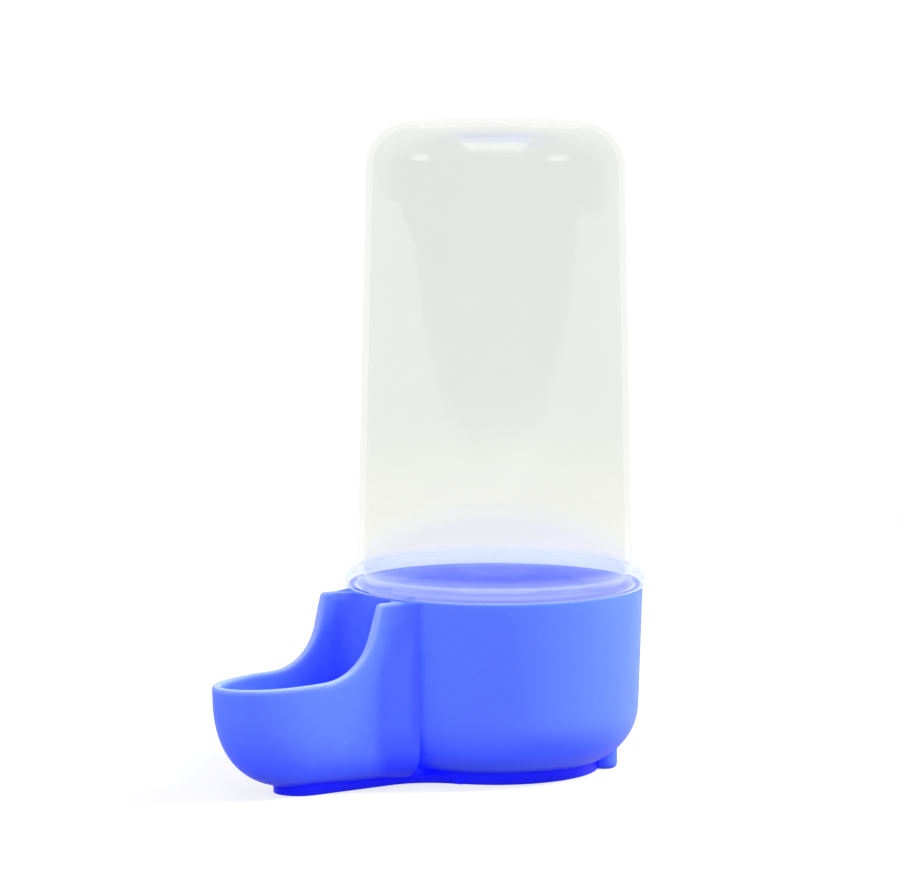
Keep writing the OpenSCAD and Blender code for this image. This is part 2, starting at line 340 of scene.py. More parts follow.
# %% Columns along the side
def side_spot(row, top, outward, foot):
    """(x, reach, z) on a column that runs from a point on the lip to a reach on the keel."""
    kind, share, inset = row
    if kind == "lip":
        reach, z = top - share * outward
        return half_width(reach, z) - inset, reach, z
    x, z, _, _ = bilge(foot, share if kind == "bilge" else float(kind == "keel"), inset)
    if kind == "wall":
        start = top - LIP_DEPTH * outward
        reach, z = start[0] + (foot - start[0]) * share, start[1] + (z - start[1]) * share
        return half_width(reach, z) - inset, reach, z
    return x * (1 - share) if kind == "keel" else x, foot, z


lip_length = np.cumsum([0] + [np.linalg.norm(b - a) for a, b in zip(lip_points, lip_points[1:])])
fan_start, fan_end = FLAT_STEPS, len(lip_points) - 1 - LEVEL_STEPS
fan_share = (lip_length - lip_length[fan_start]) / (lip_length[fan_end] - lip_length[fan_start])
fan_low, fan_high = lip_points[fan_start][0], lip_points[fan_end][0]
side_columns = []
for k, (point, outward) in enumerate(zip(lip_points, lip_outward)):
    in_fan = fan_start <= k <= fan_end
    foot = float(fan_low + (fan_high - fan_low) * fan_share[k] if in_fan else point[0])
    side_columns.append([side_spot(r, point, outward, foot) for r in rows])
print("columns along the side:", len(side_columns))

# %% Columns round the bow
BOW_STEPS = 26


def bow_spot(row, turn):
    """(x, reach, z) on a column round the bow, from its side, 0, to its tip, a quarter turn."""
    kind, share, inset = row
    across = along = 1
    if kind in ("bilge", "keel"):
        _, z, across, along = bilge(BOW_REACH, share if kind == "bilge" else 1.0, inset)
    x = (half_width(BOW_REACH) - inset) * across * math.cos(turn)
    reach = BOW_REACH + (LIP_REACH - BOW_REACH - inset) * along * math.sin(turn)
    if kind == "lip":
        z = lip_z(reach) - share
    elif kind == "wall":
        start = lip_z(reach) - LIP_DEPTH
        z = start + (BOW_TOP - start) * share
    return x, reach, z


bow_columns = [[bow_spot(r, math.pi / 2 * i / BOW_STEPS) for r in rows] for i in range(1, BOW_STEPS + 1)]
print("columns round the bow:", len(bow_columns))

# %% Columns into the cup's wall
ROOT_STEPS = 6
ROOT_DEPTH, ROOT_TRIES = 0.7, 12
BEHIND_BACK = 0.1


def root_spot(row, share):
    """(x, reach, z) from inside the cup's wall, 0, past the neck's back, a half, to the neck's end, 1."""
    def on_neck(reach):
        return side_spot(row, np.array((reach, EAR_TOP)), np.array((0, 1)), reach)

    near = NECK_END
    for _ in range(ROOT_TRIES):
        x, _, z = on_neck(near)
        into = max(cup_outside(z) - ROOT_DEPTH, FOOT_R - FOOT_WALL / 2)
        near = min(math.sqrt(into ** 2 - x ** 2), NECK_BACK - BEHIND_BACK)
    return on_neck(float(np.interp(share, (0, 0.5, 1), (near, NECK_BACK, NECK_END))))


root_columns = [[root_spot(r, i / ROOT_STEPS) for r in rows] for i in range(ROOT_STEPS)]
print("columns into the cup's wall:", len(root_columns))

# %% Trough shell
SAME_SPOT = 4


def shell_of(name, columns):
    """Both halves of a grid of columns as one closed shell, capped at its first column."""
    form, made = bmesh.new(), {}

    def corner(side, spot):
        x, reach, z = [round(v, SAME_SPOT) for v in spot]
        key = (side * x + 0.0, reach, z)
        if key not in made:
            made[key] = form.verts.new((key[0] * MM, cup_axis_y - reach * MM, z * MM))
        return made[key]

    def face(side, spots):
        corners = list(dict.fromkeys(corner(side, p) for p in spots))
        if len(corners) > 2:
            form.faces.new(corners)

    for side in (1, -1):
        for near, far in zip(columns, columns[1:]):
            for j in range(len(near) - 1):
                face(side, (near[j], near[j + 1], far[j + 1], far[j]))
        end = columns[0]
        for j in range(len(end) // 2):
            face(side, (end[j], end[j + 1], end[-2 - j], end[-1 - j]))
    return to_object(name, form)


trough = shell_of("trough_form", root_columns + side_columns + bow_columns)
print("trough:", len(trough.data.polygons), "faces")

# %% Rounded inner corners of the neck
CORNER_R, CORNER_STEPS = 4.0, 12
CORNER_LOW, CORNER_HIGH, CORNER_LEVELS = 9.5, EAR_TOP - 0.2, 15
CORNER_REACHES, CORNER_TRIES = (24.0, 36.0), 30
WALL_POINTS, SLOPE_SPAN = 9, 0.05
INTO_NECK, INTO_CUP, BEHIND_CUP_FACE = 0.7, 0.8, 1.6


def corner_ring(z):
    """Plan of the fill between the neck's inner wall and the cup at a height, as (x, reach) points."""
    def on_wall(reach):
        return np.array((half_width(reach, z) - TROUGH_WALL, reach))

    def inward(reach):
        ahead = on_wall(reach + SLOPE_SPAN) - on_wall(reach - SLOPE_SPAN)
        return np.array((-ahead[1], ahead[0])) / np.linalg.norm(ahead)

    cup_r = cup_outside(z)
    low, high = CORNER_REACHES
    for _ in range(CORNER_TRIES):
        end = (low + high) / 2
        middle = on_wall(end) + inward(end) * CORNER_R
        low, high = (end, high) if np.linalg.norm(middle) < cup_r + CORNER_R else (low, end)
    to_wall, to_cup = -inward(end), -middle / np.linalg.norm(middle)
    first, last = [math.atan2(way[1], way[0]) for way in (to_wall, to_cup)]
    bend = [middle + CORNER_R * heading(t) for t in np.linspace(first, last, CORNER_STEPS + 1)]
    along_wall = np.linspace(cup_r - BEHIND_CUP_FACE, end, WALL_POINTS)
    in_wall = [on_wall(r) - inward(r) * INTO_NECK for r in along_wall]
    return bend + [bend[-1] + to_cup * INTO_CUP] + in_wall


def corner_fill(name, side):
    """A solid that rounds one inner corner, from low in the trough to just below the ear's top."""
    form = bmesh.new()
    rings = []
    for z in np.linspace(CORNER_LOW, CORNER_HIGH, CORNER_LEVELS):
        rings.append([form.verts.new((side * x * MM, cup_axis_y - reach * MM, z * MM))
                      for x, reach in corner_ring(z)])
    for lower, upper in zip(rings, rings[1:]):
        for k in range(len(lower)):
            form.faces.new((lower[k - 1], lower[k], upper[k], upper[k - 1]))
    form.faces.new(rings[0])
    form.faces.new(rings[-1])
    return to_object(name, form)


fills = [corner_fill("corner_form_left", -1), corner_fill("corner_form_right", 1)]
print("neck: inner corners rounded to", CORNER_R, "mm")

# %% [markdown]
# ### Feet and passage
# The part stands on the ring under the cup, two round feet at the back and a long flat foot under the
# trough. Each one runs up into the wall above it and stops there, so that nothing shows inside. A low
# arch through the cup's wall lets the water out into the trough.

# %% Outline of the keel foot
KEEL_FOOT_HALF, KEEL_FOOT_FRONT = 4.7, 43.8
KEEL_FOOT_REACHES = [27.5, 30, 33, 36, 39, 42]
FRONT_TURNS = (15, 30, 45, 58, 70, 80, 86)
WEB_R, WEB_POINTS = 12.0, 13

web_x = KEEL_FOOT_HALF + WEB_R
web_reach = math.sqrt((FOOT_R + WEB_R) ** 2 - web_x ** 2)
ring_middle = FOOT_R - FOOT_WALL / 2
root_x, root_reach = [ring_middle / (FOOT_R + WEB_R) * v for v in (web_x, web_reach)]


def foot_half(reach):
    """Half width of the keel foot, which spreads in a round web towards the foot ring."""
    if reach < web_reach:
        return web_x - math.sqrt(WEB_R ** 2 - (web_reach - reach) ** 2)
    past = max(0, reach - KEEL_FOOT_FRONT)
    return math.sqrt(max(0, KEEL_FOOT_HALF ** 2 - past ** 2))


reaches = list(np.linspace(root_reach, web_reach, WEB_POINTS)) + KEEL_FOOT_REACHES + [KEEL_FOOT_FRONT]
reaches += [KEEL_FOOT_FRONT + KEEL_FOOT_HALF * math.sin(math.radians(t)) for t in FRONT_TURNS]
print("keel foot:", round(2 * foot_half(root_reach), 1), "mm wide at the ring,", 2 * KEEL_FOOT_HALF, "in front")

# %% Keel foot
PAST_RING, ACROSS_POINTS = FOOT_R + 1, 9
UNDERSIDE_STEPS = 60
INTO_WALL = 0.6
TINY = 1e-6


def trough_underside(x, reach):
    """Height of the trough's outer face above a point on the table."""
    bend = [bilge(min(reach, BOW_REACH), i / UNDERSIDE_STEPS, 0) for i in range(UNDERSIDE_STEPS + 1)][::-1]
    past_bow = max(0, reach - BOW_REACH) / (LIP_REACH - BOW_REACH)
    halves = [b[0] * math.sqrt(max(0, 1 - (past_bow / max(b[3], TINY)) ** 2)) for b in bend]
    return float(np.interp(abs(x), halves, [b[1] for b in bend]))


def foot_top(x, reach):
    """Height of the keel foot's top: inside the trough's wall, or level with the foot ring beside it."""
    return trough_underside(x, reach) + INTO_WALL if x < half_width(reach) - TROUGH_WALL else FOOT_H


foot_columns = []
for reach in reaches:
    clear_of_ring = min(1, (reach - root_reach) / (PAST_RING - root_reach))
    spots = []
    for share in np.linspace(0, 1, ACROSS_POINTS):
        behind = math.sqrt(ring_middle ** 2 - (root_x * share) ** 2)
        spots.append((foot_half(reach) * share, max(reach, behind + (PAST_RING - behind) * clear_of_ring)))
    under = [(x, r, 0.0) for x, r in spots]
    over = [(x, r, foot_top(x, r)) for x, r in spots]
    foot_columns.append(under + [(*spots[-1], FOOT_ROUND)] + over[::-1])
tip = KEEL_FOOT_FRONT + KEEL_FOOT_HALF
foot_columns.append([(0.0, tip, z) for _, _, z in foot_columns[-1]])
keel_foot = shell_of("keel_foot_form", foot_columns)
print("keel foot:", len(keel_foot.data.polygons), "faces")

# %% Back feet
PEG_R, PEG_ROUND, PEG_ANGLE, PEG_OUT = 2.6, 0.9, math.radians(39), 20.3
PEG_TOP, PEG_STEPS = 4, 40


def cup_underside(r):
    """Height of the cup's rounded lower edge at a radius."""
    return cup_edge_z - math.sqrt(CUP_EDGE_R ** 2 - max(0, r - cup_edge_x) ** 2)


def peg(name, side):
    """A round back foot, with its top cut to run inside the cup's rounded wall."""
    lower = arc((PEG_R - PEG_ROUND, PEG_ROUND), PEG_ROUND, -90, 0, RIM_STEPS)
    middle = (side * PEG_OUT * math.sin(PEG_ANGLE), PEG_OUT * math.cos(PEG_ANGLE))
    piece = turned(name, [(0, 0)] + lower + [(PEG_R, PEG_TOP), (0, PEG_TOP)], PEG_STEPS, middle)
    for v in piece.data.vertices:
        if v.co.z > 2 * PEG_ROUND * MM:
            v.co.z = (cup_underside(math.hypot(v.co.x, v.co.y - cup_axis_y) / MM) + INTO_WALL) * MM
    return piece


pegs = [peg("peg_form_left", -1), peg("peg_form_right", 1)]
print("feet: 1 ring, 1 keel foot and", len(pegs), "back feet")

# %% Passage
PASSAGE_HALF, PASSAGE_TOP = 4.0, 11.3
PASSAGE_ROUND, PASSAGE_STEPS = 2.0, 6
PASSAGE_FROM, PASSAGE_TO = 17.0, 27.85

side_in, round_z = PASSAGE_HALF - PASSAGE_ROUND, PASSAGE_TOP - PASSAGE_ROUND
arch = [(-PASSAGE_HALF, CUP_FLOOR_Z), (PASSAGE_HALF, CUP_FLOOR_Z)]
arch += arc((side_in, round_z), PASSAGE_ROUND, 0, 90, PASSAGE_STEPS)
arch += arc((-side_in, round_z), PASSAGE_ROUND, 90, 180, PASSAGE_STEPS)
form = bmesh.new()
near, far = [[form.verts.new((x * MM, cup_axis_y - reach * MM, z * MM)) for x, z in arch]
             for reach in (PASSAGE_FROM, PASSAGE_TO)]
form.faces.new(near)
form.faces.new(far[::-1])
for k in range(len(arch)):
    form.faces.new((near[k], near[k - 1], far[k - 1], far[k]))
passage = to_object("passage_form", form)
print("passage:", 2 * PASSAGE_HALF, "mm wide")

# %% One moulding
CREASE = math.radians(38)


def settled(piece):
    """Replaces a piece's mesh by what its modifiers make of it."""
    bpy.context.view_layer.update()
    shown = piece.evaluated_get(bpy.context.evaluated_depsgraph_get())
    made = bpy.data.meshes.new_from_object(shown)
    piece.modifiers.clear()
    piece.data = made


def joined(name, body, forms, operation):
    """Adds forms to a body, or cuts them from it, and drops the forms."""
    for form in forms:
        step = body.modifiers.new(form.name, "BOOLEAN")
        step.operation = operation
        step.solver = "MANIFOLD"
        step.object = form
        settled(body)
        bpy.data.objects.remove(form)
    body.name = name
    return body


base = joined("blue_base", cup, [trough] + fills + [keel_foot] + pegs, "UNION")
base = joined("blue_base", base, [passage], "DIFFERENCE")
base.data.polygons.foreach_set("use_smooth", [True] * len(base.data.polygons))
base.data.set_sharp_from_angle(angle=CREASE)
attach(base, "base")
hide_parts("base")
check = bmesh.new()
check.from_mesh(base.data)
open_edges = sum(not e.is_manifold for e in check.edges)
print("base:", len(base.data.polygons), "faces,", open_edges, "open edges,",
      round(check.calc_volume() / MM ** 3), "cubic mm")
check.free()

# %% [markdown]
# ### Painted rim light and painted shade
# Painted light: the lip and the ears are painted paler than the walls, for light that enters a thin edge and
# comes out of it again. Painted shade: the foot and the low end of the neck are painted a purer, deeper blue,
# as they are lit only by what comes through blue plastic. Each vertex keeps two numbers, how near it is to an
# edge and how deep in such painted shade it lies.

# %% Painted rim light and painted shade
RIM_LIGHT_REACH = 1.1
BOW_LIP_STEPS = 40
FOOT_FADE = (2.1, 3.2)
NECK_HEIGHTS, NECK_SHADE = (2.1, 11.0, 22.0, 33.0), (0.7, 0.0, 0.0, 0.25)
NECK_REACHES, NECK_SIDE = (21.0, 24.0, 30.0, 34.0), (0.05, 0.6)
PEGS_FROM = FOOT_R + 0.2

bow_turns = [math.pi / 2 * i / BOW_LIP_STEPS for i in range(BOW_LIP_STEPS + 1)]
bow_reaches = [BOW_REACH + (LIP_REACH - BOW_REACH) * math.sin(t) for t in bow_turns]
lip_curve = np.array(lip_points + [np.array((r, lip_z(r))) for r in bow_reaches])


def rim_light_share(reach, z):
    """Share of painted rim light: 1 on the lip's curve, less and less away from it, and 0 where the glow ends.
    """
    from_lip = np.linalg.norm(lip_curve - (reach, z), axis=1).min()
    return max(0, 1 - from_lip / RIM_LIGHT_REACH)


def painted_shade_share(x, reach, z):
    """Share of painted shade: 1 on the foot, a part of it towards both ends of the neck, and 0 on the back feet
    and all else.
    """
    if reach < 0 and math.hypot(x, reach) > PEGS_FROM:
        return 0.0
    in_neck = np.interp(reach, NECK_REACHES, (0, 1, 1, 0))
    in_neck *= np.interp(abs(x) - half_width(reach, z), NECK_SIDE, (1, 0))
    return max(np.interp(z, FOOT_FADE, (1, 0)), in_neck * np.interp(z, NECK_HEIGHTS, NECK_SHADE))


spots = [(v.co.x / MM, (cup_axis_y - v.co.y) / MM, v.co.z / MM) for v in base.data.vertices]
rim_light_shares = [float(rim_light_share(reach, z)) for _, reach, z in spots]
painted_shade_shares = [float(painted_shade_share(*spot)) for spot in spots]
for name, values in (("rim", rim_light_shares), ("shade", painted_shade_shares)):
    base.data.attributes.new(name, "FLOAT", "POINT").data.foreach_set("value", values)
    print(name, "on", sum(v > 0 for v in values), "vertices")

# %% [markdown]
# ## The reservoir
# The reservoir is a body of revolution with a thin wall, blown or moulded round a core. Clear plastic
# shows every flat facet, so it isn't taken from the solid but turned afresh: half of its section is
# written as a row of points, and the section is spun about the cup's axis in many small steps.

# %% Reservoir section
SPIGOT_R, SPIGOT_END, SPIGOT_ROUND = 25.5, 26.5, 0.5
TANK_WALL, MOUTH_ROUND = 1.2, 0.3
FLANGE_R, FLANGE_TOP = 28.1, 37.0
FLANGE_ROUND, FLANGE_EDGE, FLANGE_STEPS = 1.0, 0.3, 8
TUBE_DRAFT, TUBE_RUNS = math.radians(1.3), 12
TUBE_FILLET, FILLET_STEPS = 0.5, 5
SHOULDER_R, SHOULDER_STEPS = 8.4, 20
CROWN_RISE, CROWN_STEPS = 0.5, 8
CROWN_Z = tank_high.z / MM
EDGE_ROUND_STEPS = 4

shoulder_z = CROWN_Z - CROWN_RISE - SHOULDER_R
shoulder_x = SPIGOT_R - math.tan(TUBE_DRAFT) * (shoulder_z - FLANGE_TOP) - SHOULDER_R / math.cos(TUBE_DRAFT)
crown_link = (shoulder_x ** 2 + CROWN_RISE ** 2) / (2 * CROWN_RISE)


def closed_end(inset):
    """The tube's wall from the flange to the crown's middle, moved in by an inset."""
    crown_middle = CROWN_Z - crown_link - SHOULDER_R
    crown_start = 90 - math.degrees(math.asin(shoulder_x / crown_link))
    draft_turn = math.degrees(TUBE_DRAFT)
    foot = (SPIGOT_R - inset, FLANGE_TOP + TUBE_FILLET)
    shoulder = arc((shoulder_x, shoulder_z), SHOULDER_R - inset, draft_turn, crown_start, SHOULDER_STEPS)
    crown = arc((0, crown_middle), crown_link + SHOULDER_R - inset, crown_start, 90, CROWN_STEPS)
    return [foot] + run(foot, shoulder[0], TUBE_RUNS) + shoulder + crown[1:-1] + [(0, crown[-1][1])]


spigot_end = arc((SPIGOT_R - SPIGOT_ROUND, SPIGOT_END + SPIGOT_ROUND), SPIGOT_ROUND, -90, 0, EDGE_ROUND_STEPS)
flange_edge = arc((FLANGE_R - FLANGE_EDGE, RIM_Z + FLANGE_EDGE), FLANGE_EDGE, -90, 0, EDGE_ROUND_STEPS)
flange_round = arc((FLANGE_R - FLANGE_ROUND, FLANGE_TOP - FLANGE_ROUND), FLANGE_ROUND, 0, 90, FLANGE_STEPS)
fillet = arc((SPIGOT_R + TUBE_FILLET, FLANGE_TOP + TUBE_FILLET), TUBE_FILLET, 270, 180, FILLET_STEPS)[:-1]
mouth_middle = (SPIGOT_R - TANK_WALL + MOUTH_ROUND, SPIGOT_END + MOUTH_ROUND)
mouth = arc(mouth_middle, MOUTH_ROUND, 270, 180, EDGE_ROUND_STEPS)
outside = spigot_end + [(SPIGOT_R, RIM_Z)] + flange_edge + flange_round + fillet + closed_end(0)
inside = mouth + closed_end(TANK_WALL)
print("reservoir section:", len(outside) + len(inside), "points")

# %% Reservoir
TANK_STEPS = 192

tank = turned("clear_reservoir", outside + inside[::-1], TANK_STEPS)
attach(tank, "reservoir")
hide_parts("reservoir")
print("reservoir:", len(tank.data.polygons), "faces")

# %% [markdown]
# ## What both plastics share
# Moulded plastic is never quite even. Its colour drifts a little where the melt flowed, its gloss
# changes with the polish of the steel, and its skin has a grain far finer than a millimetre. Both
# pieces have all three, so they are one shader group with its own scale and depth in each material.
# The cell starts with short ways to add nodes, which the materials, the floor and the world all use.

# %% Moulded skin
def fill(tree, socket, value):
    """Gives an input a plain value, or links an output to it."""
    if isinstance(value, bpy.types.NodeSocket):
        tree.links.new(value, socket)
    else:
        socket.default_value = value


def fill_all(tree, node, values):
    """Fills a node's inputs by name."""
    for name, value in values.items():
        fill(tree, node.inputs[name], value)
    return node


def node_at(tree, kind, **values):
    """Adds a node and fills its inputs, whose names are written with underscores."""
    return fill_all(tree, tree.nodes.new(kind), {name.replace("_", " "): v for name, v in values.items()})


def math_node(tree, operation, *values, kind="ShaderNodeMath"):
    """Adds a math or vector math node, and gives the number that it works out."""
    node = tree.nodes.new(kind)
    node.operation = operation
    for socket, value in zip(node.inputs, values):
        fill(tree, socket, value)
    return node.outputs["Value"]


skin = bpy.data.node_groups.new("moulded skin", "ShaderNodeTree")
for name in ("Flow Scale", "Grain Scale", "Gloss", "Gloss Drift"):
    skin.interface.new_socket(name, in_out="INPUT", socket_type="NodeSocketFloat")
for name in ("Flow", "Roughness", "Grain"):
    skin.interface.new_socket(name, in_out="OUTPUT", socket_type="NodeSocketFloat")
given = skin.nodes.new("NodeGroupInput").outputs
place = skin.nodes.new("ShaderNodeTexCoord").outputs["Object"]
flow = node_at(skin, "ShaderNodeTexNoise", Vector=place, Scale=given["Flow Scale"],
               Detail=3.0, Roughness=0.5, Distortion=0.6).outputs["Fac"]
grain = node_at(skin, "ShaderNodeTexNoise", Vector=place, Scale=given["Grain Scale"],
                Detail=2.0, Roughness=0.6).outputs["Fac"]
gloss = math_node(skin, "MULTIPLY_ADD", flow, given["Gloss Drift"], given["Gloss"])
node_at(skin, "NodeGroupOutput", Flow=flow, Roughness=gloss, Grain=grain)
print("shared skin:", [s.name for s in skin.interface.items_tree])

# %% [markdown]
# ## Blue plastic
# The base is a soft satin plastic, dyed cobalt, that lets a little light into itself. Its thin rims and
# shaded hollows stay a strong blue, because light comes through the wall. Subsurface scattering with a long
# reach for blue gives part of that; a faint painted blue glow, painted light on the rims and painted shade in
# the hollows give the rest, and two close blues mixed by the flow keep the colour from being flat. Where the
# neck joins the cup, little light gets into the corner, so a soft dark line of painted shade runs down it.

# %% Blue plastic: skin and colour
GRAIN_HEIGHT = 0.02 * MM
BLUES = (0.076, 0.150, 0.90, 1), (0.096, 0.178, 0.95, 1)


def skinned(name, grain_depth, **skin_values):
    """A material whose roughness and bump come from the moulded skin, with its tree, shader and flow."""
    material = bpy.data.materials.new(name)
    material.use_nodes = True
    tree = material.node_tree
    shader = tree.nodes["Principled BSDF"]
    surface = tree.nodes.new("ShaderNodeGroup")
    surface.node_tree = skin
    fill_all(tree, surface, {key.replace("_", " "): value for key, value in skin_values.items()})
    bump = node_at(tree, "ShaderNodeBump", Distance=GRAIN_HEIGHT, Strength=grain_depth,
                   Height=surface.outputs["Grain"])
    fill_all(tree, shader, {"Roughness": surface.outputs["Roughness"], "Normal": bump.outputs["Normal"]})
    return material, tree, shader, surface.outputs["Flow"]


def blend(tree, share, first, second):
    """Mixes two colours by a share."""
    node = tree.nodes.new("ShaderNodeMix")
    node.data_type = "RGBA"
    return fill_all(tree, node, {"Factor": share, "A": first, "B": second}).outputs["Result"]


blue, tree, shader, flow = skinned("blue plastic", grain_depth=0.35, Flow_Scale=60.0, Grain_Scale=3000.0,
                                   Gloss=0.42, Gloss_Drift=0.10)
colour = blend(tree, flow, *BLUES)
print("blue plastic: two blues mixed by the", flow.name.lower())

# %% Blue plastic: painted rim light
PAINTED_RIM_LIGHT, RIM_LIGHT_SHARE = (0.34, 0.43, 0.98, 1), 0.6


def vertex_number(tree, name):
    """A number that each vertex keeps."""
    node = tree.nodes.new("ShaderNodeAttribute")
    node.attribute_name = name
    return node.outputs["Fac"]


# Painted light: the lip and the ears are mixed towards a paler blue.
rim_light_mix = math_node(tree, "MULTIPLY", vertex_number(tree, "rim"), RIM_LIGHT_SHARE)
colour = blend(tree, rim_light_mix, colour, PAINTED_RIM_LIGHT)
print("rims: up to", RIM_LIGHT_SHARE, "of a paler blue")

# %% Blue plastic: painted deep shade
PAINTED_SHADE_BLUE = (0.014, 0.016, 0.92, 1)
JOIN_X, JOIN_REACH = 10.7, 25.0
JOIN_FADE, JOIN_PAINTED_SHADE = (0.4 * MM, 1.8 * MM), 0.3


def place_on(tree, kind="Object"):
    """The place of a shaded point, and its three numbers by name."""
    place = tree.nodes.new("ShaderNodeTexCoord").outputs[kind]
    return place, node_at(tree, "ShaderNodeSeparateXYZ", Vector=place).outputs


def vector_math(tree, operation, *values):
    """A length, a distance or a dot product."""
    return math_node(tree, operation, *values, kind="ShaderNodeVectorMath")


def fade(tree, value, span, start, end):
    """Leads from one number to another as a value crosses a span."""
    node = node_at(tree, "ShaderNodeMapRange", Value=value, From_Min=span[0], From_Max=span[1],
                   To_Min=start, To_Max=end)
    return node.outputs["Result"]


# Painted shade: a deeper blue on the foot, at both ends of the neck and in a soft line where the neck joins the
# cup.
_, place = place_on(tree)
plan = node_at(tree, "ShaderNodeCombineXYZ", X=math_node(tree, "ABSOLUTE", place["X"]), Y=place["Y"])
join = (JOIN_X * MM, cup_axis_y - JOIN_REACH * MM, 0)
from_join = vector_math(tree, "DISTANCE", plan.outputs["Vector"], join)
join_painted_shade = fade(tree, from_join, JOIN_FADE, JOIN_PAINTED_SHADE, 0.0)
shade = math_node(tree, "MAXIMUM", vertex_number(tree, "shade"), join_painted_shade)
colour = blend(tree, shade, colour, PAINTED_SHADE_BLUE)
print("join of neck and cup:", JOIN_PAINTED_SHADE, "of a deeper blue")

# %% Blue plastic: shine and depth
fill_all(tree, shader, {
    "Base Color": colour,
    "IOR": 1.49,
    "Specular IOR Level": 0.2,
    # Painted light: a faint blue glow, so that shaded parts stay a strong blue.
    "Emission Color": (0.005, 0.01, 1, 1),
    "Emission Strength": 0.3,
    "Subsurface Weight": 0.6,
    "Subsurface Radius": (0.3, 0.5, 4.0),
    "Subsurface Scale": 1 * MM,
})
base.data.materials.clear()
base.data.materials.append(blue)
print("blue plastic on", base.name)

# %% [markdown]
# ## Clear plastic
# The reservoir is clear, with a faint cool green in it. Its wall is thin and its faces are parallel, so it
# hardly bends the view: a low refractive index keeps its edges pale, and a coat gives back the shine of the
# polished mould. The flange sits on the blue cup and carries some of its light, so it is painted with a pale
# blue tint and a faint glow, which is painted light. The lower part of the tube is painted a lighter tint, a
# painted reflection. Lamps shine through the wall, which takes out only a small share of their light.

# %% Clear plastic: colour, painted reflection and painted glow
CLEARS = (0.886, 0.899, 0.877, 1), (0.906, 0.919, 0.897, 1)
PAINTED_LOW_REFLECTION, LOW_FADE = (0.93, 0.935, 0.905, 1), (52 * MM, 66 * MM)
PAINTED_FLANGE_BLUE, FLANGE_FADE = (0.60, 0.69, 0.93, 1), (FLANGE_TOP * MM, (FLANGE_TOP + 1.5) * MM)
PAINTED_FLANGE_GLOW, NO_GLOW = (0.13, 0.14, 0.13, 1), (0, 0, 0, 1)
PAINTED_SPIGOT_GLOW, SEAT_FADE = 0.25, ((RIM_Z + 0.5) * MM, (RIM_Z + 1.0) * MM)

clear, tree, shader, flow = skinned("clear plastic", grain_depth=0.06, Flow_Scale=45.0, Grain_Scale=900.0,
                                    Gloss=0.015, Gloss_Drift=0.03)
_, place = place_on(tree)
# Painted reflection: the tube is a lighter tint towards its lower end.
below = fade(tree, place["Z"], LOW_FADE, 1.0, 0.0)
colour = blend(tree, below, blend(tree, flow, *CLEARS), PAINTED_LOW_REFLECTION)
# Painted light: the flange is tinted a pale blue and glows, less on the spigot below the seat.
at_flange = fade(tree, place["Z"], FLANGE_FADE, 1.0, 0.0)
painted_glow = math_node(tree, "MULTIPLY", at_flange, fade(tree, place["Z"], SEAT_FADE, PAINTED_SPIGOT_GLOW, 1.0))
fill_all(tree, shader, {
    "Base Color": blend(tree, at_flange, colour, PAINTED_FLANGE_BLUE),
    "Emission Color": blend(tree, painted_glow, NO_GLOW, PAINTED_FLANGE_GLOW),
    "Emission Strength": 1.0,
})
print("clear plastic: tinted up to z =", round(FLANGE_FADE[1] / MM, 1), "mm")

# %% Clear plastic: shine, and lamps through the wall
FLANGE_COAT, TUBE_COAT = 1.0, 0.5
LAMPS_THROUGH = (0.88, 0.91, 0.91, 1)


def blend_shaders(tree, share, first, second):
    """Mixes two shaders by a share."""
    node = node_at(tree, "ShaderNodeMixShader", Fac=share)
    tree.links.new(first, node.inputs[1])
    tree.links.new(second, node.inputs[2])
    return node.outputs["Shader"]


fill_all(tree, shader, {
    "IOR": 1.003,
    "Coat Weight": fade(tree, place["Z"], FLANGE_FADE, FLANGE_COAT, TUBE_COAT),
    "Coat IOR": 1.95,
    "Coat Roughness": 0.03,
    "Transmission Weight": 1.0,
})
shadow_ray = tree.nodes.new("ShaderNodeLightPath").outputs["Is Shadow Ray"]
lets_through = node_at(tree, "ShaderNodeBsdfTransparent", Color=LAMPS_THROUGH)
wall = blend_shaders(tree, shadow_ray, shader.outputs["BSDF"], lets_through.outputs["BSDF"])
tree.links.new(wall, tree.nodes["Material Output"].inputs["Surface"])
tank.data.materials.append(clear)
print("clear plastic on", tank.name)

# %% [markdown]
# ## Floor and background
# The picture has a white ground with only a breath of shadow. The floor is a matt sheet. Rays from the
# camera, and those that glass and gloss send on, also see plain white in it: a share of it close to the
# object, where the shadow lies, and nothing else further out, so that no horizon shows. That adds no light.
# Right beside the object the sheet is painted darker for light that bounces back up, painted shade that keeps
# the foot dark. The world gives light from a band above the horizon, and gloss sees it white only behind the
# object, as paper would stand.

# %% Floor
FLOOR_HALF = 3.0

sheet = bpy.data.meshes.new("floor")
corners = [(-1, -1), (1, -1), (1, 1), (-1, 1)]
sheet.from_pydata([(x * FLOOR_HALF, y * FLOOR_HALF, 0) for x, y in corners], [], [(0, 1, 2, 3)])
floor = bpy.data.objects.new("floor", sheet)
scene.collection.objects.link(floor)
print("floor:", 2 * FLOOR_HALF, "m wide")

# %% White paper on the floor
MATT_SEEN = 0.85
# Painted shade: the floor's colour for bounced light is darker right beside the object.
MATT_SHADED_NEAR, MATT_LIT_FAR, LIT_FADE = 0.08, 0.45, (0.003, 0.030)
SHADOW_SHARE, SHADOW_FADE = 0.28, (0.10, 0.40)
SHEET_FRONT = (0.65, 0.95)
WHITE = (1, 1, 1, 1)
NO_OR_YES = (0.0, 1.0)

paper = bpy.data.materials.new("white paper")
paper.use_nodes = True
tree = paper.node_tree
tree.nodes.clear()
path = tree.nodes.new("ShaderNodeLightPath").outputs
spot, place = place_on(tree)

